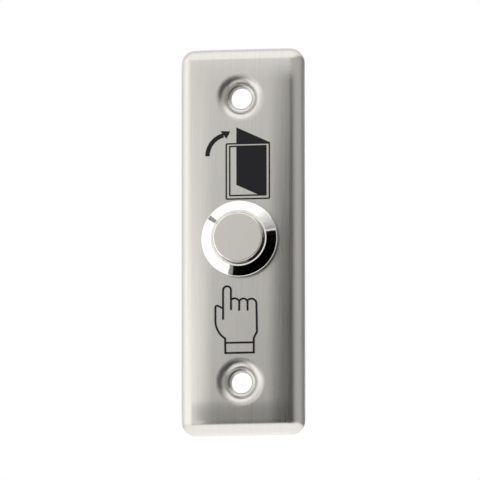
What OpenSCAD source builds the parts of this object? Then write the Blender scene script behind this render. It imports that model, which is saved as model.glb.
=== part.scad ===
// Door exit button: a pressed stainless face plate with a metal push switch and printed pictograms.
// Everything is modelled lying on its back: X to the right, Y up the plate, Z out of the wall,
// with the wall at height 0. upright() then stands it up, so the front faces -Y and +Z is up.

/* [Face plate] */
// Width of the plate over its side walls
plate_w = 29; // [27:0.5:40]
// Length of the plate over its end walls
plate_l = 91; // [86:1:130]
// Depth of the tray, from the wall to the front face
tray_depth = 5.5; // [5:0.1:8]
// Thickness of the sheet
sheet_t = 1.0; // [0.7:0.1:1.2]
// Outer radius of the bend from the front face into the walls
bend_r = 3.8; // [2:0.1:4]
// Radius of the flat face's corners, where the bend starts
face_corner_r = 0.2; // [0.2:0.1:3]

/* [Screw dimples] */
// Distance from each end of the plate to its screw hole
screw_inset = 12; // [10:0.5:16]
// Diameter of each screw hole
screw_hole_d = 4.9; // [4:0.1:6]
// Width of the countersunk ring round the hole
seat_w = 1.0; // [0.8:0.05:1.6]
// Depth of that ring's outer edge below the front face
seat_depth = 1.5; // [1.2:0.1:2.2]
// Steepness of the dimple's slope
slope_angle = 54; // [45:1:65]
// Radius of the soft shoulder round the dimple, made smaller where the dimple is too shallow for it
shoulder_r = 3.0; // [1:0.1:3.4]
// Depth of the countersink between the ring's outer edge and the hole
countersink_h = 0.45; // [0.2:0.05:0.8]
// Length of the hole's straight wall
hole_wall_h = 0.55; // [0.4:0.05:0.8]
// Thickness of the drawn slope, thinner than the sheet it was pressed from
drawn_t = 0.8; // [0.6:0.05:1]

/* [Button cap] */
// Diameter of the cap, which sets the size of the whole switch round it
cap_d = 11.6; // [10:0.1:14]
// Height of the cap over the rim when it is fully pressed
pressed_proud = 0.1; // [0.05:0.05:1]
// Travel of the button
travel = 1.5; // [0.8:0.1:1.8]
// Radius of the cap's polished edge
cap_edge_r = 0.4; // [0.2:0.05:0.6]
// Thickness of the cap's roof
cap_roof_t = 1.5; // [1.2:0.1:2]
// Thickness of the wall round the hollow under the cap
cap_wall = 0.9; // [0.7:0.05:1.2]
// Height of the skirt that guides the cap
skirt_h = 4.0; // [3.4:0.1:4.8]
// How far the skirt stands out under the stop, beyond the head's bore
skirt_step = 0.57; // [0.4:0.01:0.8]
// Thickness of the cap's sealing ring
seal_t = 0.94; // [0.6:0.02:1.1]

/* [Switch head] */
// Height of the head, from the plate to the rim round the button
head_h = 2.5; // [2:0.1:3.2]
// Height of the head's upright side
side_h = 1.1; // [0.8:0.1:1.4]
// Radius of the head's outer edge
head_edge_r = 0.35; // [0.2:0.05:0.5]
// Width of the flat rim round the button
rim_w = 0.5; // [0.35:0.05:1]
// How far the head stands out beyond the barrel
flange_w = 1.0; // [0.8:0.1:2]
// Chamfer at the mouth of the button's bore
mouth_chamfer = 0.2; // [0.1:0.05:0.25]
// Thickness of the head between the rim and the button's stop
stop_lip_t = 1.8; // [1.4:0.1:2.2]

/* [Switch barrel] */
// Thickness of the barrel's wall round the terminal base
barrel_wall = 1.0; // [0.8:0.1:1.6]
// How much wider the barrel's bore is round the base than round the skirt, on each side
base_step = 0.25; // [0.15:0.05:0.4]
// Chamfer at the rear of the barrel
barrel_chamfer = 0.4; // [0.2:0.1:0.6]
// Thickness of the lip that is rolled in behind the terminal base
rolled_lip_t = 0.5; // [0.3:0.05:0.8]
// How far that lip reaches in over the base
rolled_lip_w = 0.65; // [0.4:0.05:0.9]

/* [Fixing behind the plate] */
// Thickness of the toothed lock washer
lock_washer_t = 0.6; // [0.4:0.05:0.8]
// How far the lock washer stands out beyond the barrel
lock_washer_w = 1.3; // [1.1:0.05:1.5]
// Length of the washer's teeth
tooth_l = 0.65; // [0.4:0.05:0.75]
// Number of teeth inside the lock washer
lock_teeth = 12; // [6:1:16]
// Thickness of the nut at its flats, outside the thread
nut_wall = 1.5; // [1.3:0.1:3]
// Thickness of the nut along the barrel
nut_t = 2.4; // [1.6:0.1:2.8]
// Section of the square gasket under the head
gasket_w = 0.5; // [0.3:0.05:0.6]

/* [Plunger and springs] */
// Thickness of the plunger's disc
disc_t = 1.2; // [0.8:0.1:1.5]
// Diameter of the thin end of the stem that carries the bridge
neck_d = 2.0; // [1.6:0.1:2.4]
// Width of the shoulder between the neck and the stem
stem_shoulder = 0.6; // [0.5:0.05:0.8]
// Wire of the return spring
return_wire_d = 0.5; // [0.3:0.05:0.6]
// Number of turns of the return spring
return_turns = 6; // [4:1:7]
// Wire of the contact spring
contact_wire_d = 0.3; // [0.2:0.05:0.35]
// Number of turns of the contact spring
contact_turns = 4; // [3:1:5]
// Length of the contact spring
contact_spring_l = 1.6; // [1.5:0.1:2]

/* [Contacts] */
// Width of the moving bridge
bridge_w = 3.0; // [2.6:0.1:3.6]
// Thickness of the moving bridge
bridge_t = 0.4; // [0.3:0.05:0.6]
// Gap between the bridge's ends and the wall of the contact chamber
bridge_gap = 1.1; // [0.9:0.05:1.4]
// Width of the bridge outside its contact rivets
rivet_rim = 0.3; // [0.2:0.05:0.5]
// Gap between the rivets and the clip
rivet_gap = 0.5; // [0.3:0.05:0.7]
// Height of the rivets under the bridge
bridge_rivet_h = 0.4; // [0.3:0.05:0.6]
// Height of the rivets on the terminals
fixed_rivet_h = 0.5; // [0.3:0.05:0.8]
// Thickness of the clip that holds the bridge
clip_t = 0.35; // [0.2:0.05:0.5]
// How far the clip stands out beyond the neck
clip_w = 0.8; // [0.5:0.05:0.9]

/* [Terminal base] */
// Thickness of the guide plate over the contact chamber
guide_t = 1.2; // [0.9:0.1:1.6]
// Thickness of the wall round the contact chamber
chamber_wall = 1.45; // [1.2:0.05:1.7]
// Thickness left between the chamber and the screws' blind holes
blind_t = 1.4; // [1:0.1:2]
// How far the base stands out behind the barrel
base_tail = 2.5; // [1.5:0.1:3.5]
// Thickness of the barrier between the terminals
barrier_t = 0.8; // [0.6:0.1:1]
// Height of that barrier
barrier_h = 2.2; // [1.2:0.1:3]
// Gap between the barrier and the terminals
barrier_gap = 0.4; // [0.3:0.05:0.5]

/* [Terminals] */
// Thickness of each terminal strip
strip_t = 0.5; // [0.3:0.05:0.6]
// Inner radius of the strips' bends
strip_bend_r = 0.2; // [0.1:0.05:0.3]
// Width of each terminal strip
strip_w = 3.8; // [3.4:0.1:4.4]
// Gap between the strips' legs and the wall of the contact chamber
strip_gap = 0.55; // [0.45:0.05:0.6]
// Length of a terminal screw under its head
screw_l = 4.2; // [3:0.1:5]
// Height of a terminal screw's head
screw_head_h = 1.4; // [1:0.1:2]
// Width of the screw slot
slot_w = 0.6; // [0.4:0.05:0.8]
// How far the clamp washers stay inside the outsides of the strips
clamp_inset = 0.35; // [0.3:0.05:0.6]
// Width of the clamp washer beside the screw
clamp_rim = 0.65; // [0.5:0.05:0.8]
// Thickness of the clamp washer
clamp_t = 0.5; // [0.3:0.05:0.7]

/* [Pictograms] */
// Thickness of the ink
ink_t = 0.1; // [0.05:0.05:0.3]
// Gap between the head and the door's frame
door_foot_gap = 0.35; // [0.2:0.05:2]
// Gap between the door's highest point and the upper dimple
door_top_gap = 1.05; // [0.5:0.05:4]
// Middle of the door's frame, to the right of the plate's middle
door_x = 1.83; // [0:0.01:2.4]
// Gap between the head and the fingertip
hand_tip_gap = 1.8; // [0.5:0.05:4]
// Gap between the cuff and the lower dimple
hand_foot_gap = 0.5; // [0.3:0.05:4]
// Middle of the hand's cuff, to the right of the plate's middle
hand_x = -0.1; // [-2:0.1:2]

/* [Hidden] */
$fn = 96;

// Named clearances
hole_gap = 0.1;        // round the barrel in the plate, the washer and the nut
bore_gap = 0.3;        // round the cap in the head's bore
skirt_gap = 0.08;      // round the skirt in the barrel
stop_gap = 0.05;       // between the cap's skirt and its stop
end_gap = 0.15;        // left under the skirt when the button is fully pressed
slide_gap = 0.05;      // round parts that fit inside another without being pressed
contact_gap = 0.1;     // left between the contacts at the end of the travel
gasket_squeeze = 0.02; // the gasket is this much thinner than its groove

// A straight line cuts this far into the arc that rounds its end, so that the faces meet cleanly,
// and the arc's slice runs on by this angle
arc_bite = 0.01;
arc_overrun = 20;

// Every cut runs on this far beyond the face that it starts from
cut = 1;

// Radii of the switch, from the cap outwards
cap_r = cap_d / 2;
hollow_r = cap_r - cap_wall;
bore_r = cap_r + bore_gap;
rim_r = bore_r + rim_w;
skirt_r = bore_r + skirt_step;
skirt_bore_r = skirt_r + skirt_gap;
base_bore_r = skirt_bore_r + base_step;
barrel_r = base_bore_r + barrel_wall;
head_r = barrel_r + flange_w;
hole_r = barrel_r + hole_gap;
base_r = base_bore_r - slide_gap;
base_neck_r = base_r - rolled_lip_w;
chamber_r = base_r - chamber_wall;
disc_r = hollow_r - slide_gap;
neck_r = neck_d / 2;
stem_r = neck_r + stem_shoulder;
clip_groove_r = 0.75 * neck_r;

// Heights over the wall, from the front face to the top of the cap
front_h = tray_depth;
web_h = front_h - sheet_t;
edge_h = front_h + side_h;
rim_h = front_h + head_h;
stop_h = rim_h - stop_lip_t;
cap_top_h = rim_h + pressed_proud + travel;
roof_h = cap_top_h - cap_roof_t;
disc_end_h = roof_h - disc_t;
skirt_top_h = stop_h - stop_gap;
skirt_end_h = skirt_top_h - skirt_h;
seal_mid_h = skirt_end_h + skirt_h / 2;

// Heights behind the cap, from the guide plate to the heads of the terminal screws
guide_top_h = skirt_end_h - travel - end_gap;
guide_end_h = guide_top_h - guide_t;
stem_end_h = guide_end_h - hole_gap;
bridge_top_h = stem_end_h - contact_spring_l;
bridge_end_h = bridge_top_h - bridge_t;
clip_end_h = bridge_end_h - clip_t;
neck_end_h = clip_end_h - 0.3 * neck_d;
fixed_face_h = bridge_end_h - bridge_rivet_h - travel - contact_gap;
pad_top_h = fixed_face_h - fixed_rivet_h;
floor_h = pad_top_h - strip_t;
pilot_end_h = floor_h - blind_t;
head_seat_h = pilot_end_h - hole_gap - screw_l;
strip_end_h = head_seat_h + clamp_t;
rear_h = strip_end_h + strip_t;
barrel_end_h = rear_h + base_tail;
lip_top_h = barrel_end_h + rolled_lip_t;

// The head's cone rises from its edge to the rim
edge_u = head_r - head_edge_r;
cone_angle = atan2(rim_h - edge_h, edge_u - rim_r)
    - asin((head_edge_r - arc_bite) / norm([edge_u - rim_r, rim_h - edge_h]));
cone_u = edge_u + (head_edge_r - arc_bite) * sin(cone_angle);
cone_h = edge_h + (head_edge_r - arc_bite) * cos(cone_angle);

// Section of a screw dimple: the seat ring, the slope and the soft shoulder over it
screw_y = plate_l / 2 - screw_inset;
seat_r = screw_hole_d / 2 + seat_w;
soft_r = min(shoulder_r, 0.85 * seat_depth / (1 - cos(slope_angle)));
slope_v = soft_r - (soft_r - arc_bite) * cos(slope_angle);
slope_u = seat_r + (seat_depth - slope_v) / tan(slope_angle);
crest_u = slope_u + (soft_r - arc_bite) * sin(slope_angle);
dimple_r = crest_u + 0.8 * sheet_t;

// Places across the contacts and terminals, measured from the middle
bridge_l = 2 * (chamber_r - bridge_gap);
clip_r = neck_r + clip_w;
rivet_d = bridge_l / 2 - rivet_rim - rivet_gap - clip_r;
rivet_pitch = bridge_l - 2 * rivet_rim - rivet_d;
strip_u = chamber_r - strip_gap;
clamp_w = strip_u - clamp_inset - barrier_gap - barrier_t / 2;
screw_d = clamp_w - 2 * clamp_rim;
terminal_pitch = barrier_t + 2 * barrier_gap + clamp_w;

// The pictograms fill the space between the head and the dimples. One unit of their drawings is
// 1 mm at the usual sizes
dimple_y = screw_y - crest_u;
door_foot = head_r + door_foot_gap;
door_unit = (dimple_y - door_top_gap - door_foot) / 17;
hand_foot = hand_foot_gap - dimple_y;
hand_unit = (-head_r - hand_tip_gap - hand_foot) / 16.1;
door_line_w = 0.33 * door_unit;
door_left = door_x - 5.075 * door_unit;
door_right = door_x + 5.075 * door_unit;
door_low = door_foot + door_line_w / 2;
door_high = door_low + 13 * door_unit;

// Direction and distance helpers
function unit(v) = v / norm(v);
function left_of(v) = [-v[1], v[0]];
function heading(a, b) = atan2(b[1] - a[1], b[0] - a[0]);
function arc(c, r, from, to, n = 10) =
    [for (i = [0:n]) let (a = from + (to - from) * i / n) c + r * [cos(a), sin(a)]];

// Offset direction at point i of a path, longer where the path turns
function mitre(p, i) =
    let (a = left_of(unit(p[i] - p[i - 1])), b = left_of(unit(p[i + 1] - p[i])), m = unit(a + b))
    m / (m * a);

// Outline of a line of width w along the points p, with round ends
function stroke(p, w) =
    let (n = len(p), tip = heading(p[n - 2], p[n - 1]), tail = heading(p[1], p[0]))
    concat([for (i = [1:1:n - 2]) p[i] + w / 2 * mitre(p, i)],
        arc(p[n - 1], w / 2, tip + 90, tip - 90, 6),
        [for (i = [n - 2:-1:1]) p[i] - w / 2 * mitre(p, i)],
        arc(p[0], w / 2, tail + 90, tail - 90, 6));

// Outline of a rectangle from corner a to corner b with rounded corners
function rounded_box(a, b, r) = concat(
    arc([b[0] - r, b[1] - r], r, 0, 90, 4), arc([a[0] + r, b[1] - r], r, 90, 180, 4),
    arc([a[0] + r, a[1] + r], r, 180, 270, 4), arc([b[0] - r, a[1] + r], r, 270, 360, 4));

// Turns the bench position into the position on the wall
module upright() {
    rotate([90, 0, 0]) children();
}

// Slice of a disc between two angles up to 90 degrees apart
module sector(r, from, to) {
    mid = (from + to) / 2;
    intersection() {
        circle(r);
        polygon([[0, 0], 2 * r * [cos(from), sin(from)], 2 * r * [cos(mid), sin(mid)],
            2 * r * [cos(to), sin(to)]]);
    }
}

// Section of the sheet from the corner's axis out over the bend and down the wall
module wall_section() {
    wall_h = tray_depth - bend_r;
    translate([0, web_h]) square([face_corner_r, sheet_t]);
    translate([face_corner_r, wall_h]) difference() {
        sector(bend_r, 0, 90);
        circle(bend_r - sheet_t);
    }
    translate([face_corner_r + bend_r - sheet_t, 0]) square([sheet_t, wall_h]);
}

// Straight wall of the given length, its bend starting off_centre from the middle
module straight_wall(off_centre, run) {
    translate([off_centre, 0, 0]) rotate([90, 0, 0])
        linear_extrude(run, center = true) wall_section();
}

// Section of a screw dimple, measured outwards from the screw and down from the front face
module dimple_section() {
    screw_r = screw_hole_d / 2;
    under_v = seat_depth + countersink_h + hole_wall_h;
    under_u = seat_r + drawn_t / sin(slope_angle);
    polygon([[dimple_r, 0], [crest_u, 0], [slope_u, slope_v], [seat_r, seat_depth],
        [screw_r, seat_depth + countersink_h], [screw_r, under_v],
        [under_u - (under_v - seat_depth) / tan(slope_angle), under_v],
        [under_u + (seat_depth - sheet_t) / tan(slope_angle), sheet_t], [dimple_r, sheet_t]]);
    translate([crest_u, soft_r]) difference() {
        sector(soft_r, 270 - slope_angle - arc_overrun, 270);
        circle(soft_r - 0.75 * drawn_t);
    }
}

module face_plate() {
    half_w = plate_w / 2 - bend_r - face_corner_r;
    half_l = plate_l / 2 - bend_r - face_corner_r;
    color("lightgray") upright() {
        translate([0, 0, web_h]) linear_extrude(sheet_t) difference() {
            square([2 * half_w, 2 * half_l], center = true);
            circle(hole_r);
            for (side = [-1, 1]) translate([0, side * screw_y]) circle(dimple_r);
        }
        for (side = [-1, 1]) translate([0, side * screw_y, front_h])
            rotate_extrude() mirror([0, 1]) dimple_section();
        for (a = [0, 180]) rotate([0, 0, a]) {
            straight_wall(half_w, 2 * half_l);
            rotate([0, 0, 90]) straight_wall(half_l, 2 * half_w);
            translate([half_w, half_l, 0]) rotate_extrude(angle = 90) wall_section();
            translate([-half_w, half_l, 0]) rotate([0, 0, 90])
                rotate_extrude(angle = 90) wall_section();
        }
    }
}

// Lays a flat figure on the plate as a film of ink
module printed() {
    color("black") upright() translate([0, 0, front_h]) linear_extrude(ink_t) children();
}

// Rectangular line frame between two corners, measured on the line's middle
module line_frame(a, b, outer_r) {
    half = [door_line_w, door_line_w] / 2;
    difference() {
        polygon(rounded_box(a - half, b + half, outer_r));
        polygon(rounded_box(a + half, b - half, outer_r / 4));
    }
}

// A door that opens away from its double frame
module door_pictogram() {
    low = [door_left, door_low];
    high = [door_right, door_high];
    inner_low = low + [0.81, 0.81] * door_unit;
    inner_high = high - [0.81, 0.62] * door_unit;
    leaf_left = door_left + 2.39 * door_unit;
    leaf_right = door_right + door_line_w / 2;
    leaf_h = 13.55 * door_unit;
    hinge_y = door_high + door_line_w / 2;
    fall = 0.465 * (leaf_right - leaf_left);
    leaf_y = hinge_y + fall;
    leaf = [[leaf_left, leaf_y], [leaf_left, leaf_y - leaf_h],
        [leaf_right, leaf_y - leaf_h - fall], [leaf_right, hinge_y]];
    printed() {
        line_frame(low, high, 0.4 * door_unit);
        line_frame(inner_low, inner_high, 0.2 * door_unit);
        intersection() {
            polygon(leaf);
            translate(inner_low) square(inner_high - inner_low);
        }
        intersection() {
            polygon(leaf);
            translate([leaf_left, door_high]) square([leaf_right - leaf_left, leaf_h]);
        }
    }
}

// A curved arrow that points to the door's free edge
module arrow_pictogram() {
    middle_r = 5 * door_unit;
    half_w = 0.5 * door_unit;
    centre = [door_left, door_high] + [0.56, -2.8] * door_unit;
    tip = centre + [0.38, 5.75] * door_unit;
    printed() {
        translate(centre) difference() {
            sector(middle_r + half_w, 104, 180);
            circle(middle_r - half_w);
        }
        polygon([tip, tip + [-2.31, 0.1] * door_unit, tip + [-0.9, -1.7] * door_unit]);
    }
}

// Outline drawing of a hand that points up, with three folded fingers, a thumb and a cuff
module hand_pictogram() {
    line_w = 0.45 * hand_unit;
    function at(x, y) = [hand_x, hand_foot + line_w / 2] + hand_unit * [x, y];
    function bow(x, y, r, from, to, n = 10) = arc(at(x, y), r * hand_unit, from, to, n);
    printed() {
        polygon(stroke(concat([at(-3.93, 8)], bow(-3, 14.73, 0.93, 180, 0),
            [at(-2.07, 10.2)]), line_w));
        polygon(stroke(concat(bow(-1.22, 11.58, 1.2, 128, 22), [at(-0.15, 10.05)]), line_w));
        polygon(stroke(concat(bow(0.84, 11.65, 1.05, 161, 19), [at(1.83, 10.05)]), line_w));
        polygon(stroke(concat(bow(2.73, 11.42, 1.2, 144, 10), [at(4.04, 4.85), at(3.28, 3.4),
            at(3.3, 0), at(-3.4, 0), at(-3.44, 3.4)], bow(-0.64, 7.65, 5.1, 228, 180),
            bow(-5.29, 10.7, 0.45, 180, 63, 6), [at(-3.93, 10.45)]), line_w));
        polygon(stroke([at(-3.4, 2.38), at(3.3, 2.38)], line_w));
    }
}

// Ring of rectangular section
module ring(inner, outer, low, high) {
    translate([inner, low]) square([outer - inner, high - low]);
}

module switch_housing() {
    groove_end_r = barrel_r + gasket_w + 2 * slide_gap;
    color("silver") upright() rotate_extrude() {
        difference() {
            polygon([[0, barrel_end_h], [barrel_r - barrel_chamfer, barrel_end_h],
                [barrel_r, barrel_end_h + barrel_chamfer], [barrel_r, front_h],
                [head_r, front_h], [head_r, edge_h], [edge_u, edge_h], [cone_u, cone_h],
                [rim_r, rim_h], [0, rim_h]]);
            square([bore_r, rim_h + cut]);
            polygon([[0, rim_h - mouth_chamfer], [bore_r, rim_h - mouth_chamfer],
                [bore_r + 2 * mouth_chamfer, rim_h + mouth_chamfer], [0, rim_h + mouth_chamfer]]);
            ring(0, skirt_bore_r, guide_top_h - cut, stop_h);
            ring(0, base_bore_r, lip_top_h, guide_top_h);
            ring(0, base_neck_r + slide_gap, barrel_end_h - cut, lip_top_h + cut);
            ring(barrel_r, groove_end_r, front_h - cut, front_h + gasket_w);
        }
        translate([edge_u, edge_h]) sector(head_edge_r, 0, 90 - cone_angle + arc_overrun);
    }
}

module head_gasket() {
    inner = barrel_r + slide_gap;
    color("dimgray") upright() rotate_extrude()
        ring(inner, inner + gasket_w, front_h, front_h + gasket_w - gasket_squeeze);
}

module lock_washer() {
    root_r = hole_r + tooth_l;
    hold = tooth_l / 4;
    spread = 90 / lock_teeth;
    color("silver") upright() translate([0, 0, web_h - lock_washer_t])
        linear_extrude(lock_washer_t) {
            difference() {
                circle(barrel_r + lock_washer_w);
                circle(root_r);
            }
            for (i = [0:lock_teeth - 1]) rotate(i * 360 / lock_teeth) polygon([
                (root_r + hold) * [cos(spread), sin(spread)],
                hole_r * [cos(spread / 2), sin(spread / 2)],
                hole_r * [cos(spread / 2), -sin(spread / 2)],
                (root_r + hold) * [cos(spread), -sin(spread)]]);
        }
}

module mounting_nut() {
    flat_r = barrel_r + nut_wall;
    corner_r = flat_r / cos(30);
    face_r = 0.98 * flat_r;
    chamfer_h = (corner_r - face_r) * tan(30);
    color("silver") upright() translate([0, 0, web_h - lock_washer_t - nut_t]) difference() {
        intersection() {
            cylinder(r = corner_r, h = nut_t, $fn = 6);
            rotate_extrude() polygon([[0, 0], [face_r, 0], [corner_r, chamfer_h],
                [corner_r, nut_t - chamfer_h], [face_r, nut_t], [0, nut_t]]);
        }
        translate([0, 0, -cut]) cylinder(r = hole_r, h = nut_t + 2 * cut);
    }
}

module button_cap() {
    edge_c = cap_r - cap_edge_r;
    edge_c_h = cap_top_h - cap_edge_r;
    groove_half = 0.625 * seal_t;
    color("gainsboro") upright() rotate_extrude() {
        difference() {
            polygon([[0, skirt_end_h], [skirt_r, skirt_end_h], [skirt_r, skirt_top_h],
                [cap_r, skirt_top_h], [cap_r, edge_c_h], [edge_c, edge_c_h],
                [edge_c, cap_top_h], [0, cap_top_h]]);
            ring(0, hollow_r, skirt_end_h - cut, roof_h);
            ring(skirt_r - seal_t, skirt_r + cut, seal_mid_h - groove_half, seal_mid_h + groove_half);
        }
        translate([edge_c, edge_c_h]) sector(cap_edge_r, 0, 90);
    }
}

module cap_seal() {
    wire_r = seal_t / 2;
    color("black") upright() translate([0, 0, seal_mid_h]) rotate_extrude()
        translate([skirt_r - wire_r, 0]) circle(wire_r);
}

// Coil spring from height low to height high, with one closed turn at each end
module coil_spring(coil_d, wire_d, turns, low, high, per_turn, sides) {
    run = high - low - wire_d;
    closed = 1.04 * wire_d;
    steps = (turns + 2) * per_turn;
    function climb(t) = t < 1 ? closed * t : t > turns + 1 ? run - closed * (turns + 2 - t)
        : closed + (run - 2 * closed) * (t - 1) / turns;
    rings = [for (i = [0:steps]) let (t = i / per_turn, a = 360 * t)
        for (k = [0:sides - 1]) let (b = 360 * k / sides,
            u = coil_d / 2 + wire_d / 2 * cos(b), h = climb(t) + wire_d / 2 * (1 + sin(b)))
            [u * cos(a), u * sin(a), low + h]];
    walls = [for (i = [0:steps - 1], k = [0:sides - 1])
        let (p = i * sides + k, q = i * sides + (k + 1) % sides)
        each [[p, q, q + sides], [p, q + sides, p + sides]]];
    ends = [[for (k = [0:sides - 1]) sides - 1 - k], [for (k = [0:sides - 1]) steps * sides + k]];
    polyhedron(rings, concat(walls, ends));
}

module return_spring() {
    color("silver") upright() coil_spring(stem_r + hollow_r, return_wire_d, return_turns,
        guide_top_h + slide_gap, disc_end_h - slide_gap, 16, 6);
}

module plunger() {
    tip = 0.1 * neck_d;
    color("ivory") upright() rotate_extrude() difference() {
        polygon([[0, neck_end_h], [neck_r - tip, neck_end_h], [neck_r, neck_end_h + tip],
            [neck_r, stem_end_h], [stem_r, stem_end_h], [stem_r, disc_end_h],
            [disc_r, disc_end_h], [disc_r, roof_h], [0, roof_h]]);
        ring(clip_groove_r, neck_r + cut, clip_end_h, bridge_end_h);
    }
}

module contact_spring() {
    coil_d = neck_d + contact_wire_d + 4 * slide_gap;
    color("silver") upright() coil_spring(coil_d, contact_wire_d, contact_turns - 2,
        bridge_top_h + slide_gap / 2, stem_end_h - slide_gap / 2, 12, 6);
}

module contact_bridge() {
    color("peru") upright() translate([0, 0, bridge_end_h]) linear_extrude(bridge_t)
        difference() {
            polygon(rounded_box([-bridge_l, -bridge_w] / 2, [bridge_l, bridge_w] / 2,
                bridge_w / 5));
            circle(neck_r + slide_gap);
        }
}

// Pair of rivet heads that stand between two heights
module rivet_pair(low, high) {
    for (side = [-1, 1]) translate([side * rivet_pitch / 2, 0, low])
        cylinder(d = rivet_d, h = high - low);
}

module bridge_contacts() {
    color("silver") upright() rivet_pair(bridge_end_h - bridge_rivet_h, bridge_end_h);
}

// Snap-on clip with one open side
module bridge_clip() {
    color("silver") upright() translate([0, 0, clip_end_h]) linear_extrude(clip_t)
        difference() {
            circle(clip_r);
            circle(clip_groove_r);
            translate([0, -0.9 * clip_groove_r]) square([clip_r + cut, 1.8 * clip_groove_r]);
        }
}

module guide_plate() {
    color("dimgray") upright() translate([0, 0, guide_end_h]) difference() {
        cylinder(r = base_r, h = guide_t);
        translate([0, 0, -cut]) cylinder(r = stem_r + hole_gap, h = guide_t + 2 * cut);
    }
}

// Places its children at the two terminals, the second one turned round
module both_terminals() {
    for (a = [0, 180]) rotate([0, 0, a]) translate([terminal_pitch / 2, 0, 0]) children();
}

module terminal_base() {
    barrier_l = 2 * sqrt(pow(base_neck_r, 2) - pow(barrier_t / 2, 2)) - 2 * barrier_gap;
    slot_u = strip_u - strip_t - strip_bend_r;
    slot_half_w = strip_w / 2 + slide_gap;
    color("dimgray") upright() difference() {
        union() {
            rotate_extrude() polygon([[0, rear_h], [base_neck_r, rear_h],
                [base_neck_r, lip_top_h], [base_r, lip_top_h], [base_r, guide_end_h],
                [0, guide_end_h]]);
            translate([-barrier_t / 2, -barrier_l / 2, rear_h - barrier_h])
                cube([barrier_t, barrier_l, barrier_h + cut]);
        }
        translate([0, 0, floor_h]) cylinder(r = chamber_r, h = guide_end_h - floor_h + cut);
        both_terminals() translate([0, 0, rear_h - cut])
            cylinder(r = screw_d / 2 + hole_gap, h = pilot_end_h - rear_h + cut);
        for (a = [0, 180]) rotate([0, 0, a]) translate([slot_u, -slot_half_w, rear_h - cut])
            cube([strip_u + slide_gap - slot_u, 2 * slot_half_w, floor_h - rear_h + 2 * cut]);
    }
}

// One brass strip: a contact pad in the chamber, a leg through the base and a pad under the screw
module terminal_strip() {
    outer_r = strip_bend_r + strip_t;
    pad_end = rivet_pitch / 2 - rivet_d / 2 - slide_gap;
    screw_pad_end = terminal_pitch / 2 - clamp_w / 2;
    upper_bend = [strip_u - outer_r, pad_top_h - outer_r];
    lower_bend = [strip_u - outer_r, strip_end_h + outer_r];
    difference() {
        rotate([90, 0, 0]) linear_extrude(strip_w, center = true) polygon(concat(
            [[screw_pad_end, strip_end_h]], arc(lower_bend, outer_r, 270, 360, 6),
            arc(upper_bend, outer_r, 0, 90, 6), [[pad_end, pad_top_h], [pad_end, floor_h]],
            arc(upper_bend, strip_bend_r, 90, 0, 6), arc(lower_bend, strip_bend_r, 360, 270, 6),
            [[screw_pad_end, rear_h]]));
        translate([terminal_pitch / 2, 0, strip_end_h - cut])
            cylinder(r = screw_d / 2 + slide_gap, h = strip_t + 2 * cut);
    }
}

module common_terminal() {
    color("goldenrod") upright() terminal_strip();
}

module open_terminal() {
    color("goldenrod") upright() rotate([0, 0, 180]) terminal_strip();
}

module fixed_contacts() {
    color("silver") upright() rivet_pair(pad_top_h, fixed_face_h);
}

module clamp_washers() {
    color("silver") upright() both_terminals() translate([0, 0, head_seat_h])
        linear_extrude(clamp_t) difference() {
            polygon(rounded_box([-clamp_w, -clamp_w] / 2, [clamp_w, clamp_w] / 2,
                clamp_w / 12));
            circle(screw_d / 2 + hole_gap);
        }
}

module terminal_screws() {
    top_r = clamp_w / 2;
    thread_r = screw_d / 2;
    edge_r = 0.2 * top_r;
    point = 0.15 * screw_d;
    color("silver") upright() both_terminals() translate([0, 0, head_seat_h]) difference() {
        rotate_extrude() {
            polygon([[0, -screw_head_h], [top_r - edge_r, -screw_head_h],
                [top_r - edge_r, edge_r - screw_head_h], [top_r, edge_r - screw_head_h],
                [top_r, 0], [thread_r, 0], [thread_r, screw_l - point],
                [thread_r - point, screw_l], [0, screw_l]]);
            translate([top_r - edge_r, edge_r - screw_head_h]) sector(edge_r, 270, 360);
        }
        translate([-top_r - cut, -slot_w / 2, -screw_head_h - cut])
            cube([2 * (top_r + cut), slot_w, cut + screw_head_h / 2]);
    }
}

face_plate();
door_pictogram();
arrow_pictogram();
hand_pictogram();
switch_housing();
head_gasket();
lock_washer();
mounting_nut();
button_cap();
cap_seal();
return_spring();
plunger();
contact_spring();
contact_bridge();
bridge_contacts();
bridge_clip();
guide_plate();
terminal_base();
common_terminal();
open_terminal();
fixed_contacts();
clamp_washers();
terminal_screws();
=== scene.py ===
"""Looks of the door exit button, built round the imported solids: finishes, the pressed plate, the switch and the studio.

Everything is in metres in the solids' own frame: X to the right, Y into the wall, Z up. The front faces -Y.
Sizes are given in millimetres and multiplied by MM where a mesh or a node needs them. A height is measured
from the wall towards the viewer, so it is -Y.
"""
import bisect
import math

import bpy
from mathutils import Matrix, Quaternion, Vector
from mathutils.geometry import delaunay_2d_cdt


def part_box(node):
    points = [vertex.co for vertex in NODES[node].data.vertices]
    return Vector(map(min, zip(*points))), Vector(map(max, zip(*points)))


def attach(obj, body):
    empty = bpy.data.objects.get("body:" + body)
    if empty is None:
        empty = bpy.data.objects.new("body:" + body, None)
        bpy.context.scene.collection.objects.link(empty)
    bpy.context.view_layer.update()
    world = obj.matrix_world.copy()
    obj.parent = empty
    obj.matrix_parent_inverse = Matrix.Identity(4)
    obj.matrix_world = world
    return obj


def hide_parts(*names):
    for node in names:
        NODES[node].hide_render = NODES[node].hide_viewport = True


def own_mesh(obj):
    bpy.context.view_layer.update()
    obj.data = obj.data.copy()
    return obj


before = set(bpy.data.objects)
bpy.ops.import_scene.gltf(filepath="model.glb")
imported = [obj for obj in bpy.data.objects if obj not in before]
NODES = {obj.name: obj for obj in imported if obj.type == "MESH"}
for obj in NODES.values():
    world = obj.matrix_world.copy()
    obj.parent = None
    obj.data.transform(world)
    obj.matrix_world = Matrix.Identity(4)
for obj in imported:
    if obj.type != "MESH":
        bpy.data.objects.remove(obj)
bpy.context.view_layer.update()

MM = 0.001


# Finishes

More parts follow.
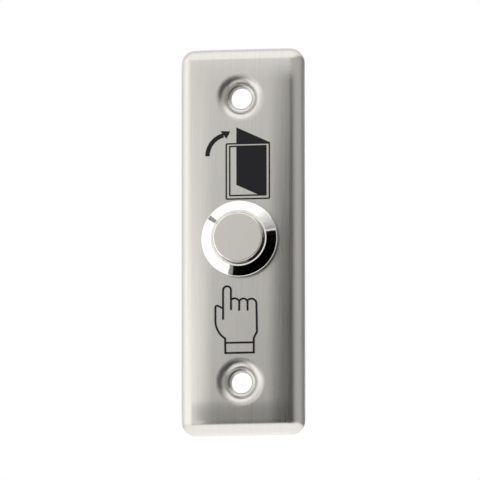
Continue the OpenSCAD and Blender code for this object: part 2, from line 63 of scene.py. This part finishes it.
def linear(hex_colour):
    """Linear RGBA of an sRGB colour such as "#c8c6c0"."""
    parts = [int(hex_colour[i:i + 2], 16) / 255 for i in (1, 3, 5)]
    return [c / 12.92 if c <= 0.04045 else ((c + 0.055) / 1.055) ** 2.4 for c in parts] + [1.0]


def add(tree, kind, settings=None, **inputs):
    """Adds a shader node. Settings are its own properties, and each input is a value or another node's output."""
    node = tree.nodes.new(kind)
    for name, value in (settings or {}).items():
        setattr(node, name, value)
    for name, value in inputs.items():
        key = int(name[1:]) if name[1:].isdigit() else name.replace("_", " ")
        if isinstance(value, bpy.types.NodeSocket):
            tree.links.new(value, node.inputs[key])
        else:
            node.inputs[key].default_value = value
    return node


def bare_material(name, **values):
    """A new material with plain values on its shader. Returns it with its tree and shader."""
    made = bpy.data.materials.new(name)
    made.use_nodes = True
    shader = made.node_tree.nodes["Principled BSDF"]
    for key, value in values.items():
        shader.inputs[key.replace("_", " ")].default_value = value
    return made, made.node_tree, shader


def surface(name, darker, lighter, roughness, grain, depth, **values):
    """A finish with marks of a grain's size in millimetres along X, Y and Z.

    The marks run from the darker to the lighter colour and over the range of roughness, and are a depth in
    millimetres high. Returns the material with its tree, its shader and the marks."""
    made, tree, shader = bare_material(name, **values)
    place = add(tree, "ShaderNodeTexCoord").outputs["Object"]
    sized = add(tree, "ShaderNodeMapping", Vector=place, Scale=[1 / (size * MM) for size in grain])
    marks = add(tree, "ShaderNodeTexNoise", Vector=sized.outputs["Vector"], Scale=1.0, Detail=3.0,
                Roughness=0.6).outputs["Fac"]
    share = add(tree, "ShaderNodeMapRange", Value=marks, From_Min=0.3, From_Max=0.7).outputs["Result"]
    colour = add(tree, "ShaderNodeMix", {"data_type": "RGBA"}, _0=share, _6=linear(darker), _7=linear(lighter))
    rough = add(tree, "ShaderNodeMapRange", Value=marks, From_Min=0.3, From_Max=0.7, To_Min=roughness[0],
                To_Max=roughness[1])
    relief = add(tree, "ShaderNodeBump", Height=marks, Distance=depth * MM, Strength=1.0)
    tree.links.new(colour.outputs[2], shader.inputs["Base Color"])
    tree.links.new(rough.outputs["Result"], shader.inputs["Roughness"])
    tree.links.new(relief.outputs["Normal"], shader.inputs["Normal"])
    return made, tree, shader, marks


def brushed_sheet():
    """Stainless steel sheet, belt brushed along its length: soft light across the lines, fine lines up the plate.

    The real lines are a few hundredths of a millimetre wide, and are drawn 0.15 mm wide to show."""
    made, tree, shader, lines = surface("stainless_sheet_brushed", "#c8c5bf", "#d1cfc9", (0.27, 0.33),
                                        (0.15, 14, 14), 0.0002, Metallic=1.0, Anisotropic=0.75)
    normal = add(tree, "ShaderNodeNewGeometry").outputs["Normal"]
    across = add(tree, "ShaderNodeVectorMath", {"operation": "CROSS_PRODUCT"}, _0=normal, _1=(0, 0.02, 1))
    tree.links.new(across.outputs["Vector"], shader.inputs["Tangent"])
    return made


def polished_steel():
    """Turned and polished stainless steel: a clear reflection with hardly a mark."""
    return surface("stainless_polished", "#dedcd7", "#e8e6e2", (0.05, 0.08), (0.6, 0.6, 0.6), 0.0004,
                   Metallic=1.0)[0]


def blasted_steel():
    """Stainless steel blasted with glass beads: an even satin, faintly mottled by a grit of about 0.2 mm."""
    return surface("stainless_bead_blasted", "#d3d0c9", "#e6e3de", (0.58, 0.68), (0.2, 0.2, 0.2), 0.004,
                   Metallic=1.0)[0]


def threaded_steel():
    """Stainless steel cut on a lathe: a dull shine with marks that run round the barrel."""
    return surface("stainless_turned", "#b4b1ab", "#c6c3be", (0.22, 0.32), (2, 0.1, 2), 0.002, Metallic=1.0)[0]


BRUSHED_SHEET = brushed_sheet()
POLISHED_STEEL = polished_steel()
BLASTED_STEEL = blasted_steel()
THREADED_STEEL = threaded_steel()
# Nickel plate on steel: a warm, slightly hazy shine
NICKEL_PLATE = surface("steel_nickel_plated", "#c9c5bb", "#d6d3cb", (0.18, 0.26), (0.5, 0.5, 0.5), 0.001,
                       Metallic=1.0)[0]
# Hard drawn spring wire: grey, with fine marks from the die
SPRING_WIRE = surface("spring_wire_drawn", "#a9a8a6", "#bdbcb9", (0.24, 0.36), (0.2, 0.2, 0.2), 0.001,
                      Metallic=1.0)[0]
# Rolled copper strip: a pink shine with faint rolling marks
COPPER_STRIP = surface("copper_rolled", "#c87f5c", "#d99270", (0.24, 0.36), (3, 0.15, 0.15), 0.001,
                       Metallic=1.0)[0]
# Silver contact rivets, headed cold: white and fairly bright
SILVER_RIVET = surface("silver_headed", "#dcdad4", "#ebe9e4", (0.2, 0.3), (0.3, 0.3, 0.3), 0.001, Metallic=1.0)[0]
# Stamped brass strip: yellow, dulled a little in patches
BRASS_STRIP = surface("brass_stamped", "#c3a15a", "#d4b46e", (0.22, 0.34), (0.4, 0.4, 0.4), 0.001, Metallic=1.0)[0]
# Screen printing ink, air dried: a flat near-black with a faint blue cast
INK = surface("ink_screen_printed", "#0c0a10", "#131118", (0.5, 0.6), (0.25, 0.25, 0.25), 0.002, IOR=1.5,
              Specular_IOR_Level=0.3)[0]
# Moulded nitrile rubber: dull black
NITRILE_RUBBER = surface("nitrile_rubber_moulded", "#161616", "#202020", (0.63, 0.77), (0.3, 0.3, 0.3), 0.004,
                         IOR=1.52)[0]
# Moulded acetal in its natural colour: a waxy off-white
WHITE_ACETAL = surface("acetal_moulded", "#dfdacb", "#e8e3d6", (0.36, 0.44), (0.5, 0.5, 0.5), 0.003, IOR=1.48)[0]
# Moulded polyester with glass fibre: black with a fine eroded surface
BLACK_POLYESTER = surface("polyester_moulded", "#1d1d1f", "#28282b", (0.4, 0.5), (0.3, 0.3, 0.3), 0.004,
                          IOR=1.55)[0]

FINISHES = {
    "door_pictogram": INK,
    "arrow_pictogram": INK,
    "hand_pictogram": INK,
    "head_gasket": NITRILE_RUBBER,
    "lock_washer": NICKEL_PLATE,
    "mounting_nut": NICKEL_PLATE,
    "cap_seal": NITRILE_RUBBER,
    "plunger": WHITE_ACETAL,
    "contact_bridge": COPPER_STRIP,
    "bridge_contacts": SILVER_RIVET,
    "bridge_clip": SPRING_WIRE,
    "guide_plate": BLACK_POLYESTER,
    "terminal_base": BLACK_POLYESTER,
    "common_terminal": BRASS_STRIP,
    "open_terminal": BRASS_STRIP,
    "fixed_contacts": SILVER_RIVET,
    "clamp_washers": NICKEL_PLATE,
    "terminal_screws": NICKEL_PLATE,
    "face_plate": BRUSHED_SHEET,
    "switch_housing": POLISHED_STEEL,
    "button_cap": POLISHED_STEEL,
    "return_spring": SPRING_WIRE,
    "contact_spring": SPRING_WIRE,
}
for node_name, finish in FINISHES.items():
    data = NODES[node_name].data
    data.materials.clear()
    data.materials.append(finish)


# Mesh helpers

def mesh_object(name, points, faces, materials, slots=None, sharp_angle=35):
    """A mesh of points in millimetres, smooth but for edges sharper than an angle in degrees."""
    data = bpy.data.meshes.new(name)
    data.from_pydata([[v * MM for v in point] for point in points], [], faces)
    for item in materials:
        data.materials.append(item)
    for polygon in data.polygons:
        polygon.use_smooth = True
        if slots:
            polygon.material_index = slots[polygon.index]
    data.set_sharp_from_angle(angle=math.radians(sharp_angle))
    data.update()
    made = bpy.data.objects.new(name, data)
    bpy.context.scene.collection.objects.link(made)
    return made


def rounded(corners, steps=6, beside=0.03):
    """Points of an outline whose corners are (across, height, radius of the rounding).

    A point a little beside each end of a rounding keeps the straight faces flat in smooth shading."""
    outline = []
    for i, (*corner, radius) in enumerate(corners):
        corner = Vector(corner)
        if not radius:
            outline.append(corner)
            continue
        before = (Vector(corners[i - 1][:2]) - corner).normalized()
        after = (Vector(corners[(i + 1) % len(corners)][:2]) - corner).normalized()
        half = before.angle(after) / 2
        centre = corner + (before + after).normalized() * radius / math.sin(half)
        start = corner + before * radius / math.tan(half) - centre
        end = corner + after * radius / math.tan(half) - centre
        outline.append(centre + start + before * beside)
        outline += [centre + start.length * start.slerp(end, k / steps) for k in range(steps + 1)]
        outline.append(centre + end + after * beside)
    return outline


def turned(name, section, materials, around, slot_at=None, cut_at=None):
    """Turns a section of (radius, height) points round the switch's axis. A point at radius 0 lies on the axis.

    slot_at(radius, height) chooses the material of a face, and cut_at(height, angle) is the depth of a thread."""
    points, rings, faces, slots = [], [], [], []
    for radius, height in section:
        turns = around if radius > 0 else 1
        rings.append([len(points) + i for i in range(turns)])
        for i in range(turns):
            angle = 2 * math.pi * i / around
            depth = cut_at(radius, height, angle) if cut_at else 0
            points.append(((radius - depth) * math.cos(angle), -height, (radius - depth) * math.sin(angle)))
    for k, ring in enumerate(rings):
        after = rings[(k + 1) % len(rings)]
        if len(ring) == len(after) == 1:
            continue
        middle = (section[k] + section[(k + 1) % len(section)]) / 2
        for i in range(around):
            j = (i + 1) % around
            corners = (ring[i % len(ring)], after[i % len(after)], after[j % len(after)], ring[j % len(ring)])
            faces.append(tuple(dict.fromkeys(corners)))
            slots.append(slot_at(*middle) if slot_at else 0)
    return mesh_object(name, points, faces, materials, slots)


# Face plate: sheet of one thickness, bent down at its edges, a little crowned, and pressed in round the screws

plate_low, plate_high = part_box("face_plate")
HALF_WIDTH, HALF_LENGTH, FRONT = plate_high.x / MM, plate_high.z / MM, -plate_low.y / MM
SHEET = 1.0
CORNER_R = 3.3
BEND_R = 3.8
CROWN_WIDTH = 5.0
CROWN_SLOPE = 11.0
SCREW_Z = 33.5
SCREW_HOLE_R = 2.45
SWITCH_HOLE_R = 8.1
DIMPLE_SEAT_R = 3.25
# Section of a dimple from the flat face in to the hole: (distance from the screw, height over the face, rounding)
DIMPLE = rounded([(6.6, 0, 0), (4.3, 0, 2.9), (3.25, -1.5, 0.3), (2.75, -1.7, 0.2), (SCREW_HOLE_R, -2.0, 0)],
                 steps=8)[::-1]

BEND_INSET = BEND_R * (1 - math.sin(math.radians(CROWN_SLOPE)))
CROWN_FALL = math.tan(math.radians(CROWN_SLOPE)) / (2 * CROWN_WIDTH)


def from_bend(x, z):
    """Distance in over the face from the line where the bend starts."""
    corner = CORNER_R - BEND_INSET
    across = HALF_WIDTH - CORNER_R - abs(x)
    along = HALF_LENGTH - CORNER_R - abs(z)
    if across < 0 and along < 0:
        return corner - math.hypot(across, along)
    return corner + min(across, along)


def crown_fall(distance):
    """How far the crown falls at a distance in from one side's bend."""
    return CROWN_FALL * max(0, CROWN_WIDTH - distance) ** 2


def face_height(x, z):
    height = FRONT - crown_fall(HALF_WIDTH - BEND_INSET - abs(x)) - crown_fall(HALF_LENGTH - BEND_INSET - abs(z))
    from_screw = math.hypot(x, abs(z) - SCREW_Z)
    if from_screw < DIMPLE[-1].x:
        k = max(1, bisect.bisect_left(DIMPLE, from_screw, key=lambda point: point.x))
        near, far = DIMPLE[k - 1], DIMPLE[k]
        height += near.y + (far.y - near.y) * max(0, from_screw - near.x) / (far.x - near.x)
    return height


def face_normal(x, z, reach=0.03):
    return Vector((face_height(x - reach, z) - face_height(x + reach, z), -2 * reach,
                   face_height(x, z - reach) - face_height(x, z + reach))).normalized()


def plate_outline(inset, corner_steps=12, spacing=1.0):
    """Points of the plate's outline moved in by an inset, anticlockwise from the right, with their outward directions."""
    outline = []
    half_width, half_length = HALF_WIDTH - CORNER_R, HALF_LENGTH - CORNER_R
    turns = [(1, 1), (-1, 1), (-1, -1), (1, -1)]
    for i, (side, end) in enumerate(turns):
        centre = Vector((side * half_width, end * half_length))
        for k in range(corner_steps + 1):
            angle = math.radians(90 * (i + k / corner_steps))
            outward = Vector((math.cos(angle), math.sin(angle)))
            outline.append((centre + outward * (CORNER_R - inset), outward))
        after = turns[(i + 1) % 4]
        run = Vector(((after[0] - side) * half_width, (after[1] - end) * half_length))
        pieces = round(run.length / spacing)
        start = outline[-1][0]
        outline += [(start + run * k / pieces, outward) for k in range(1, pieces)]
    return outline


def circle_points(radius, centre_z, count):
    turn = 2 * math.pi / count
    return [Vector((radius * math.cos(i * turn), centre_z + radius * math.sin(i * turn))) for i in range(count)]


def pressed_plate():
    """The plate's mesh: rings down the bend and the wall, a net over the face, and the same again a sheet further in."""
    points, normals, faces = [], [], []
    brink = [face_height(*place) for place, _ in plate_outline(BEND_INSET)]
    ring_size = len(brink)
    slopes = [90] + [90 - (90 - CROWN_SLOPE) * k / 12 for k in range(13)]
    for row, slope in enumerate(math.radians(s) for s in slopes):
        fall = BEND_R * (math.cos(math.radians(CROWN_SLOPE)) - math.cos(slope))
        ring = plate_outline(BEND_R * (1 - math.sin(slope)))
        for i, (place, outward) in enumerate(ring):
            j = (i + 1) % ring_size
            points.append(Vector((place.x, fall - brink[i] if row else 0, place.y)))
            # The brink falls towards the corners, and the bend leans with it
            climb = (brink[j] - brink[i - 1]) / (ring[j][0] - ring[i - 1][0]).length * math.cos(slope)
            normals.append(Vector((outward.x * math.sin(slope) + outward.y * climb, -math.cos(slope),
                                   outward.y * math.sin(slope) - outward.x * climb)).normalized())
            if row:
                first = (row - 1) * ring_size
                faces.append((first + i, first + j, first + ring_size + j, first + ring_size + i))
    # The face's net starts with the bend's last ring
    shared = len(points) - ring_size
    net = [Vector((point.x, point.z)) for point in points[shared:]]
    edges = [(i, (i + 1) % ring_size) for i in range(ring_size)]
    net += circle_points(SWITCH_HOLE_R, 0, 96)
    for side in (-1, 1):
        for place in DIMPLE:
            net += circle_points(place.x, side * SCREW_Z, 72)
    step = 0.6
    for i in range(-round(HALF_WIDTH / step), round(HALF_WIDTH / step) + 1):
        for k in range(-round(HALF_LENGTH / step), round(HALF_LENGTH / step) + 1):
            x, z = i * step, k * step
            clear = min(math.hypot(x, z) - SWITCH_HOLE_R, math.hypot(x, abs(z) - SCREW_Z) - DIMPLE[-1].x)
            if step / 2 < from_bend(x, z) < CROWN_WIDTH + step and clear > step / 2:
                net.append(Vector((x, z)))
    places, _, triangles, origins, *_ = delaunay_2d_cdt(net, edges, [], 0, 1e-5)
    numbers = []
    for place, origin in zip(places, origins):
        if origin[0] < ring_size:
            numbers.append(shared + origin[0])
            normals[shared + origin[0]] = face_normal(*place)
            continue
        numbers.append(len(points))
        points.append(Vector((place.x, -face_height(*place), place.y)))
        normals.append(face_normal(*place))
    for triangle in triangles:
        middle = sum((places[i] for i in triangle), Vector((0, 0))) / 3
        if middle.length > SWITCH_HOLE_R and math.hypot(middle.x, abs(middle.y) - SCREW_Z) > SCREW_HOLE_R:
            faces.append(tuple(numbers[i] for i in triangle))
    return thickened("plate_pressed", points, normals, faces)


def thickened(name, points, normals, faces):
    """Closes a surface to a sheet: the same surface again inside, and walls between their open edges."""
    count = len(points)
    inner = []
    for point, normal in zip(points, normals):
        straight = math.hypot(point.x, abs(point.z) - SCREW_Z) < DIMPLE_SEAT_R
        inner.append(point - (Vector((0, -1, 0)) if straight else normal) * SHEET)
    used = {(face[i - 1], face[i]) for face in faces for i in range(len(face))}
    walls = [(j, i, i + count, j + count) for i, j in used if (j, i) not in used]
    backs = [tuple(i + count for i in reversed(face)) for face in faces]
    made = mesh_object(name, points + inner, faces + backs + walls, [BRUSHED_SHEET])
    both = normals + [-normal for normal in normals]
    loops = []
    for polygon in made.data.polygons:
        flat = polygon.index >= 2 * len(faces)
        loops += [polygon.normal if flat else both[i] for i in polygon.vertices]
    made.data.normals_split_custom_set(loops)
    return made


plate = pressed_plate()
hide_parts("face_plate")
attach(plate, "plate")


# Switch: turned pieces and coils, in radii and heights over the wall

THREAD_PITCH = 1.0
THREAD_DEPTH = 0.54
THREAD_TOP, THREAD_END = 4.2, -7.5
BARREL_R = 8.0
BORE_R = 6.1
SKIRT_BORE_R = 6.75
BASE_BORE_R = 7.0
LIP_R = 6.35


def thread_cut(radius, height, angle):
    """Depth of the barrel's thread: sharp flanks with a narrow crest and a wider root, fading in at both ends."""
    if radius < BARREL_R - 0.01:
        return 0
    phase = (height / THREAD_PITCH + angle / (2 * math.pi)) % 1
    flank = (abs(2 * phase - 1) - 0.12) / 0.68
    fade = min(1, max(0, min(THREAD_TOP - height, height - THREAD_END) / (0.8 * THREAD_PITCH)))
    return THREAD_DEPTH * fade * min(1, max(0, flank))


def housing():
    """Head with its polished cone, and the threaded barrel, turned from one bar."""
    thread_rows = [(BARREL_R, THREAD_TOP - (THREAD_TOP - THREAD_END) * i / 132, 0) for i in range(133)]
    section = rounded([
        (BORE_R, 7.85, 0.06), (BORE_R + 0.18, 8.0, 0.06), (6.6, 8.0, 0.08), (9.0, 6.8, 0.35),
        (9.0, 5.5, 0.05), (8.6, 5.5, 0), (8.6, 6.0, 0), (BARREL_R, 6.0, 0), *thread_rows,
        (BARREL_R, -7.6, 0), (BARREL_R - 0.4, -8.0, 0), (LIP_R, -8.0, 0.1), (LIP_R, -7.5, 0),
        (BASE_BORE_R, -7.5, 0), (BASE_BORE_R, 0.5, 0), (SKIRT_BORE_R, 0.5, 0), (SKIRT_BORE_R, 6.2, 0),
        (BORE_R, 6.2, 0)])
    return turned("switch_housing_turned", section, [POLISHED_STEEL, THREADED_STEEL], 144,
                  lambda radius, height: int(height < 5.5), thread_cut)


def cap():
    """Button cap: a blasted face with a polished rounded edge, a hollow for the plunger, and a skirt with its groove."""
    section = rounded([
        (0, 9.6, 0), (5.8, 9.57, 0.32), (5.8, 6.15, 0.1), (6.67, 6.15, 0.15), (6.67, 4.74, 0.05), (5.73, 4.74, 0.1),
        (5.73, 3.56, 0.1), (6.67, 3.56, 0.05), (6.67, 2.15, 0.15), (4.9, 2.15, 0.1), (4.9, 8.1, 0.3),
        (0, 8.1, 0)])
    return turned("button_cap_turned", section, [BLASTED_STEEL, POLISHED_STEEL], 144,
                  lambda radius, height: int(radius > 5.6 or height < 9))


def coil(name, node, coil_d, wire_d, turns, sides=12, steps=48):
    """A compression spring between a node's ends, with one closed turn at each end."""
    low, high = (-corner.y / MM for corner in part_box(node)[::-1])
    run = high - low - wire_d
    closed = 1.04 * wire_d
    points = []
    count = (turns + 2) * steps
    for i in range(count + 1):
        turn = i / steps
        if turn < 1:
            climb = closed * turn
        elif turn > turns + 1:
            climb = run - closed * (turns + 2 - turn)
        else:
            climb = closed + (run - 2 * closed) * (turn - 1) / turns
        angle = 2 * math.pi * turn
        for k in range(sides):
            side = 2 * math.pi * k / sides
            radius = (coil_d + wire_d * math.cos(side)) / 2
            height = low + climb + wire_d / 2 * (1 + math.sin(side))
            points.append((radius * math.cos(angle), -height, radius * math.sin(angle)))
    faces = [(i * sides + k, i * sides + (k + 1) % sides, (i + 1) * sides + (k + 1) % sides, (i + 1) * sides + k)
             for i in range(count) for k in range(sides)]
    faces += [tuple(reversed(range(sides))), tuple(count * sides + k for k in range(sides))]
    return mesh_object(name, points, faces, [SPRING_WIRE], sharp_angle=60)


for piece, node, body, slot in [
        (housing(), "switch_housing", "plate", "polished_steel"),
        (cap(), "button_cap", "button", "cap_steel"),
        (coil("return_spring_coiled", "return_spring", 6.5, 0.5, 6), "return_spring", "plate", "spring_steel"),
        (coil("contact_spring_coiled", "contact_spring", 2.5, 0.3, 2), "contact_spring", "button", "spring_steel")]:
    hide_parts(node)
    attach(piece, body)
    if piece.name == "return_spring_coiled":
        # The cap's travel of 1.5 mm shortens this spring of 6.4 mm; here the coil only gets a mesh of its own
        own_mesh(piece)


# Studio

def card(name, corners, strength, fade=None):
    """A studio card that the camera doesn't see. Corners are in millimetres, and strength 0 is a black card.

    A fade (low, high, strength up there) changes the strength evenly between two heights Z."""
    finish, tree, shader = bare_material(name + "_finish", Roughness=1.0)
    shader.inputs["Base Color"].default_value = linear("#000000")
    shader.inputs["Specular IOR Level"].default_value = 0.0
    if strength or fade:
        shader.inputs["Emission Color"].default_value = linear("#ffffff")
        shader.inputs["Emission Strength"].default_value = strength
    if fade:
        low, high, there = fade
        place = add(tree, "ShaderNodeTexCoord").outputs["Object"]
        height = add(tree, "ShaderNodeSeparateXYZ", Vector=place).outputs["Z"]
        level = add(tree, "ShaderNodeMapRange", Value=height, From_Min=low * MM, From_Max=high * MM,
                    To_Min=strength, To_Max=there).outputs["Result"]
        tree.links.new(level, shader.inputs["Emission Strength"])
    made = mesh_object(name, corners, [tuple(range(len(corners)))], [finish])
    made.visible_camera = False


def front_card(name, distance, outline, strength, fade=None):
    """A card in front of the object, parallel to it. The outline and the fade's heights are in shares of the distance."""
    if fade:
        low, high, there = fade
        fade = (low * distance, high * distance, there)
    card(name, [(x * distance, -distance, z * distance) for x, z in outline], strength, fade)


floor_finish, _, floor_shader = bare_material("floor_pale", Roughness=0.9)
floor_shader.inputs["Base Color"].default_value = linear("#f4f3f1")
FLOOR_Z, FLOOR_HALF = -600, 3000
mesh_object("floor", [(-FLOOR_HALF, -FLOOR_HALF, FLOOR_Z), (FLOOR_HALF, -FLOOR_HALF, FLOOR_Z),
                               (FLOOR_HALF, FLOOR_HALF, FLOOR_Z), (-FLOOR_HALF, FLOOR_HALF, FLOOR_Z)],
                     [(0, 1, 2, 3)], [floor_finish])

world = bpy.data.worlds.new("studio")
bpy.context.scene.world = world
world.use_nodes = True
sky = world.node_tree
background = sky.nodes["Background"]
path = add(sky, "ShaderNodeLightPath").outputs
seen = path["Is Camera Ray"]
for ray in ("Is Glossy Ray", "Is Transmission Ray"):
    seen = add(sky, "ShaderNodeMath", {"operation": "MAXIMUM"}, _0=seen, _1=path[ray]).outputs[0]
level = add(sky, "ShaderNodeMapRange", Value=seen, To_Min=0.85, To_Max=1.0).outputs["Result"]
background.inputs["Color"].default_value = linear("#ffffff")
sky.links.new(level, background.inputs["Strength"])

front_card("dark_room", 250, [(-0.45, -1.14), (1.08, -1.14), (1.08, 0.45), (0.35, 0.45), (0.35, -0.5), (-0.45, -0.5)], 0)
front_card("dark_middle", 250, [(-0.02, -0.5), (0.35, -0.5), (0.35, 0.6), (-0.02, 0.6)], 0.03, fade=(0.14, 0.3, 0.7))
front_card("dark_edge", 250, [(-0.62, -0.5), (-0.02, -0.5), (-0.02, 0.27), (-0.07, 0.1), (-0.35, -0.08),
                              (-0.62, -0.08)], 0.35, fade=(-0.25, 0.1, 0.8))
front_card("grey_gap", 251, [(-0.62, -1.24), (-0.44, -1.24), (-0.44, -0.79), (-0.62, -0.79)], 0.35)
front_card("low_left_softbox", 252, [(-1.71, -1.24), (-0.46, -1.24), (-0.46, 0.3), (-1.71, 0.3)], 1.7,
           fade=(0.0, 0.3, 1.0))
front_card("upper_right_grey", 250, [(0.5, 0.51), (1.24, 0.51), (1.24, 1.2), (0.5, 1.2)], 0.42,
           fade=(0.51, 1.2, 1.15))
front_card("upper_left_gap", 250, [(-1.96, 1.35), (-1.84, 1.53), (-1.36, 1.18), (-1.48, 1.0)], 0.35)
card("left_softbox", [(-500, -350, -400), (-500, 100, -400), (-500, 100, 700), (-500, -350, 700)], 1.6)
card("upper_softbox", [(-490, -450, 420), (400, -450, 420), (400, 100, 420), (-490, 100, 420)], 1.4)
card("table", [(-60, -20, -58), (50, -20, -58), (50, 60, -58), (-60, 60, -58)], 1.35)
card("right_grey", [(330, -305, -300), (330, 150, -300), (330, 150, 300), (330, -305, 300)], 0.64)
card("right_rear_dark", [(330, 150, -300), (330, 1200, -300), (330, 1200, 300), (330, 150, 300)], 0.3)


# Camera

SENSOR = 36.0
FRAME_PX = 480
PX_PER_MM = 4.285
PLATE_MIDDLE_PX = (240.1, 239.2)
CAMERA_AZIMUTH, CAMERA_ELEVATION, CAMERA_ROLL = 9.0, -8.0, -0.05
CAMERA_DISTANCE = 2.5


def place_camera():
    data = bpy.data.cameras.new("camera")
    camera = bpy.data.objects.new("camera", data)
    bpy.context.scene.collection.objects.link(camera)
    a, e, roll = (math.radians(v) for v in (CAMERA_AZIMUTH, CAMERA_ELEVATION, CAMERA_ROLL))
    back = Vector((math.sin(a) * math.cos(e), -math.cos(a) * math.cos(e), math.sin(e)))
    camera.rotation_mode = "QUATERNION"
    turn = back.to_track_quat("Z", "Y") @ Quaternion((0, 0, 1), roll)
    camera.rotation_quaternion = turn
    right = turn @ Vector((1, 0, 0))
    up = turn @ Vector((0, 1, 0))
    off_x = (FRAME_PX / 2 - PLATE_MIDDLE_PX[0]) / PX_PER_MM * MM
    off_y = (FRAME_PX / 2 - PLATE_MIDDLE_PX[1]) / PX_PER_MM * MM
    camera.location = Vector((0, -FRONT * MM, 0)) + right * off_x - up * off_y + back * CAMERA_DISTANCE
    data.sensor_width = SENSOR
    data.lens = SENSOR * CAMERA_DISTANCE / (FRAME_PX / PX_PER_MM * MM)
    data.clip_start, data.clip_end = 0.1, 20
    bpy.context.scene.camera = camera


place_camera()
bpy.context.scene.view_settings.view_transform = "Standard"
